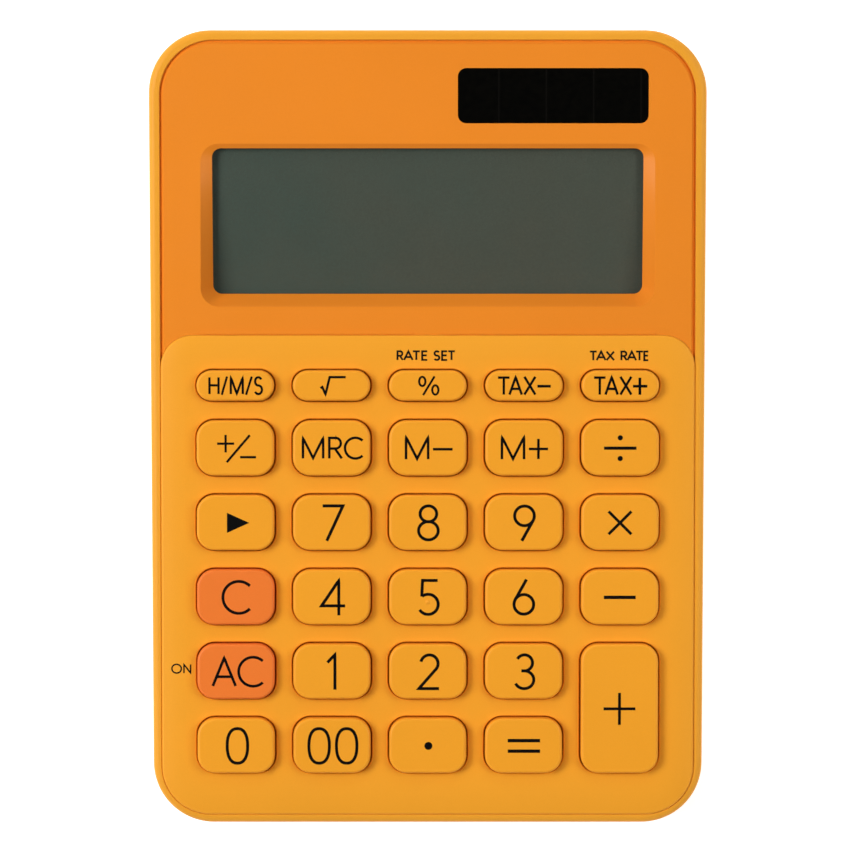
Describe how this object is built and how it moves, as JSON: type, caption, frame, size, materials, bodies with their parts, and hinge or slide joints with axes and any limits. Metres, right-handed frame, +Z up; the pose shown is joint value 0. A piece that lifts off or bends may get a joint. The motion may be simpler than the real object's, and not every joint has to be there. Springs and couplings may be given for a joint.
{
  "type": "desk calculator",
  "caption": "Wedge-shaped desk calculator with a tilted display, a solar window, a raised keypad slab and springy press keys.",
  "frame": {"origin": "on the table, under the middle of the case", "axes": "+Z up, +X to the user's right, +Y from the user towards the display"},
  "size_m": [0.105, 0.1492, 0.0228],
  "materials": {
    "case_orange": "fine satin moulded plastic",
    "panel_orange": "smooth satin moulded plastic",
    "slab_orange": "fine satin moulded plastic",
    "key_orange": "satin moulded plastic with printed legends",
    "key_red_orange": "satin moulded plastic with printed legends",
    "clear_lens": "clear polished plastic",
    "solar_glass": "dark polished window",
    "solar_silicon": "amorphous solar cell on glass",
    "lcd_grey": "display glass with a grey-green polariser",
    "holder_white": "plain moulded plastic",
    "ribbon_film": "flexible printed film",
    "silicone_grey": "moulded silicone",
    "carbon_pill": "conductive rubber",
    "board_green": "laminate with solder mask",
    "epoxy_black": "poured epoxy",
    "capacitor_sleeve": "shrink sleeve",
    "resistor_ceramic": "chip resistors",
    "cell_steel": "nickel-plated can",
    "contact_brass": "spring strip",
    "screw_steel": "zinc-plated",
    "foot_rubber": "moulded rubber",
    "label_film": "blank label film",
    "lead_insulation": "insulated wire"
  },
  "bodies": {
    "case": {"rear_case": "case_orange", "front_case": "case_orange", "keypad_plate": "slab_orange", "display_panel": "panel_orange", "display_window": "clear_lens", "solar_window": "solar_glass", "solar_cell": "solar_silicon", "lcd_glass": "lcd_grey", "lcd_holder": "holder_white", "lcd_ribbon": "ribbon_film", "rubber_keypad": "silicone_grey", "contact_pills": "carbon_pill", "circuit_board": "board_green", "controller_chip": "epoxy_black", "capacitors": "capacitor_sleeve", "resistors": "resistor_ceramic", "battery_cell": "cell_steel", "battery_contact": "contact_brass", "battery_clip": "contact_brass", "case_screws": "screw_steel", "board_screws": "screw_steel", "rubber_feet": "foot_rubber", "solar_leads": "lead_insulation", "rating_label": "label_film"},
    "key_hms": {"key_hms": "key_orange"},
    "key_square_root": {"key_square_root": "key_orange"},
    "key_percent": {"key_percent": "key_orange"},
    "key_tax_minus": {"key_tax_minus": "key_orange"},
    "key_tax_plus": {"key_tax_plus": "key_orange"},
    "key_sign_change": {"key_sign_change": "key_orange"},
    "key_mrc": {"key_mrc": "key_orange"},
    "key_memory_minus": {"key_memory_minus": "key_orange"},
    "key_memory_plus": {"key_memory_plus": "key_orange"},
    "key_divide": {"key_divide": "key_orange"},
    "key_backspace": {"key_backspace": "key_orange"},
    "key_7": {"key_7": "key_orange"},
    "key_8": {"key_8": "key_orange"},
    "key_9": {"key_9": "key_orange"},
    "key_multiply": {"key_multiply": "key_orange"},
    "key_clear": {"key_clear": "key_red_orange"},
    "key_4": {"key_4": "key_orange"},
    "key_5": {"key_5": "key_orange"},
    "key_6": {"key_6": "key_orange"},
    "key_minus": {"key_minus": "key_orange"},
    "key_all_clear": {"key_all_clear": "key_red_orange"},
    "key_1": {"key_1": "key_orange"},
    "key_2": {"key_2": "key_orange"},
    "key_3": {"key_3": "key_orange"},
    "key_plus": {"key_plus": "key_orange"},
    "key_0": {"key_0": "key_orange"},
    "key_00": {"key_00": "key_orange"},
    "key_point": {"key_point": "key_orange"},
    "key_equals": {"key_equals": "key_orange"}
  },
  "joints": [
    {"name": "press_hms", "type": "slide", "parent": "case", "child": "key_hms", "axis": [0, -0.0872, 0.9962], "range_m": [-0.0015, 0], "stiffness_N_per_m": 300, "springref_m": 0.0005, "deforming": ["rubber_keypad", "contact_pills"]},
    {"name": "press_square_root", "type": "slide", "parent": "case", "child": "key_square_root", "axis": [0, -0.0872, 0.9962], "range_m": [-0.0015, 0], "stiffness_N_per_m": 300, "springref_m": 0.0005, "deforming": ["rubber_keypad", "contact_pills"]},
    {"name": "press_percent", "type": "slide", "parent": "case", "child": "key_percent", "axis": [0, -0.0872, 0.9962], "range_m": [-0.0015, 0], "stiffness_N_per_m": 300, "springref_m": 0.0005, "deforming": ["rubber_keypad", "contact_pills"]},
    {"name": "press_tax_minus", "type": "slide", "parent": "case", "child": "key_tax_minus", "axis": [0, -0.0872, 0.9962], "range_m": [-0.0015, 0], "stiffness_N_per_m": 300, "springref_m": 0.0005, "deforming": ["rubber_keypad", "contact_pills"]},
    {"name": "press_tax_plus", "type": "slide", "parent": "case", "child": "key_tax_plus", "axis": [0, -0.0872, 0.9962], "range_m": [-0.0015, 0], "stiffness_N_per_m": 300, "springref_m": 0.0005, "deforming": ["rubber_keypad", "contact_pills"]},
    {"name": "press_sign_change", "type": "slide", "parent": "case", "child": "key_sign_change", "axis": [0, -0.0872, 0.9962], "range_m": [-0.0015, 0], "stiffness_N_per_m": 300, "springref_m": 0.0005, "deforming": ["rubber_keypad", "contact_pills"]},
    {"name": "press_mrc", "type": "slide", "parent": "case", "child": "key_mrc", "axis": [0, -0.0872, 0.9962], "range_m": [-0.0015, 0], "stiffness_N_per_m": 300, "springref_m": 0.0005, "deforming": ["rubber_keypad", "contact_pills"]},
    {"name": "press_memory_minus", "type": "slide", "parent": "case", "child": "key_memory_minus", "axis": [0, -0.0872, 0.9962], "range_m": [-0.0015, 0], "stiffness_N_per_m": 300, "springref_m": 0.0005, "deforming": ["rubber_keypad", "contact_pills"]},
    {"name": "press_memory_plus", "type": "slide", "parent": "case", "child": "key_memory_plus", "axis": [0, -0.0872, 0.9962], "range_m": [-0.0015, 0], "stiffness_N_per_m": 300, "springref_m": 0.0005, "deforming": ["rubber_keypad", "contact_pills"]},
    {"name": "press_divide", "type": "slide", "parent": "case", "child": "key_divide", "axis": [0, -0.0872, 0.9962], "range_m": [-0.0015, 0], "stiffness_N_per_m": 300, "springref_m": 0.0005, "deforming": ["rubber_keypad", "contact_pills"]},
    {"name": "press_backspace", "type": "slide", "parent": "case", "child": "key_backspace", "axis": [0, -0.0872, 0.9962], "range_m": [-0.0015, 0], "stiffness_N_per_m": 300, "springref_m": 0.0005, "deforming": ["rubber_keypad", "contact_pills"]},
    {"name": "press_7", "type": "slide", "parent": "case", "child": "key_7", "axis": [0, -0.0872, 0.9962], "range_m": [-0.0015, 0], "stiffness_N_per_m": 300, "springref_m": 0.0005, "deforming": ["rubber_keypad", "contact_pills"]},
    {"name": "press_8", "type": "slide", "parent": "case", "child": "key_8", "axis": [0, -0.0872, 0.9962], "range_m": [-0.0015, 0], "stiffness_N_per_m": 300, "springref_m": 0.0005, "deforming": ["rubber_keypad", "contact_pills"]},
    {"name": "press_9", "type": "slide", "parent": "case", "child": "key_9", "axis": [0, -0.0872, 0.9962], "range_m": [-0.0015, 0], "stiffness_N_per_m": 300, "springref_m": 0.0005, "deforming": ["rubber_keypad", "contact_pills"]},
    {"name": "press_multiply", "type": "slide", "parent": "case", "child": "key_multiply", "axis": [0, -0.0872, 0.9962], "range_m": [-0.0015, 0], "stiffness_N_per_m": 300, "springref_m": 0.0005, "deforming": ["rubber_keypad", "contact_pills"]},
    {"name": "press_clear", "type": "slide", "parent": "case", "child": "key_clear", "axis": [0, -0.0872, 0.9962], "range_m": [-0.0015, 0], "stiffness_N_per_m": 300, "springref_m": 0.0005, "deforming": ["rubber_keypad", "contact_pills"]},
    {"name": "press_4", "type": "slide", "parent": "case", "child": "key_4", "axis": [0, -0.0872, 0.9962], "range_m": [-0.0015, 0], "stiffness_N_per_m": 300, "springref_m": 0.0005, "deforming": ["rubber_keypad", "contact_pills"]},
    {"name": "press_5", "type": "slide", "parent": "case", "child": "key_5", "axis": [0, -0.0872, 0.9962], "range_m": [-0.0015, 0], "stiffness_N_per_m": 300, "springref_m": 0.0005, "deforming": ["rubber_keypad", "contact_pills"]},
    {"name": "press_6", "type": "slide", "parent": "case", "child": "key_6", "axis": [0, -0.0872, 0.9962], "range_m": [-0.0015, 0], "stiffness_N_per_m": 300, "springref_m": 0.0005, "deforming": ["rubber_keypad", "contact_pills"]},
    {"name": "press_minus", "type": "slide", "parent": "case", "child": "key_minus", "axis": [0, -0.0872, 0.9962], "range_m": [-0.0015, 0], "stiffness_N_per_m": 300, "springref_m": 0.0005, "deforming": ["rubber_keypad", "contact_pills"]},
    {"name": "press_all_clear", "type": "slide", "parent": "case", "child": "key_all_clear", "axis": [0, -0.0872, 0.9962], "range_m": [-0.0015, 0], "stiffness_N_per_m": 300, "springref_m": 0.0005, "deforming": ["rubber_keypad", "contact_pills"]},
    {"name": "press_1", "type": "slide", "parent": "case", "child": "key_1", "axis": [0, -0.0872, 0.9962], "range_m": [-0.0015, 0], "stiffness_N_per_m": 300, "springref_m": 0.0005, "deforming": ["rubber_keypad", "contact_pills"]},
    {"name": "press_2", "type": "slide", "parent": "case", "child": "key_2", "axis": [0, -0.0872, 0.9962], "range_m": [-0.0015, 0], "stiffness_N_per_m": 300, "springref_m": 0.0005, "deforming": ["rubber_keypad", "contact_pills"]},
    {"name": "press_3", "type": "slide", "parent": "case", "child": "key_3", "axis": [0, -0.0872, 0.9962], "range_m": [-0.0015, 0], "stiffness_N_per_m": 300, "springref_m": 0.0005, "deforming": ["rubber_keypad", "contact_pills"]},
    {"name": "press_plus", "type": "slide", "parent": "case", "child": "key_plus", "axis": [0, -0.0872, 0.9962], "range_m": [-0.0015, 0], "stiffness_N_per_m": 300, "springref_m": 0.0005, "deforming": ["rubber_keypad", "contact_pills"]},
    {"name": "press_0", "type": "slide", "parent": "case", "child": "key_0", "axis": [0, -0.0872, 0.9962], "range_m": [-0.0015, 0], "stiffness_N_per_m": 300, "springref_m": 0.0005, "deforming": ["rubber_keypad", "contact_pills"]},
    {"name": "press_00", "type": "slide", "parent": "case", "child": "key_00", "axis": [0, -0.0872, 0.9962], "range_m": [-0.0015, 0], "stiffness_N_per_m": 300, "springref_m": 0.0005, "deforming": ["rubber_keypad", "contact_pills"]},
    {"name": "press_point", "type": "slide", "parent": "case", "child": "key_point", "axis": [0, -0.0872, 0.9962], "range_m": [-0.0015, 0], "stiffness_N_per_m": 300, "springref_m": 0.0005, "deforming": ["rubber_keypad", "contact_pills"]},
    {"name": "press_equals", "type": "slide", "parent": "case", "child": "key_equals", "axis": [0, -0.0872, 0.9962], "range_m": [-0.0015, 0], "stiffness_N_per_m": 300, "springref_m": 0.0005, "deforming": ["rubber_keypad", "contact_pills"]}
  ]
}
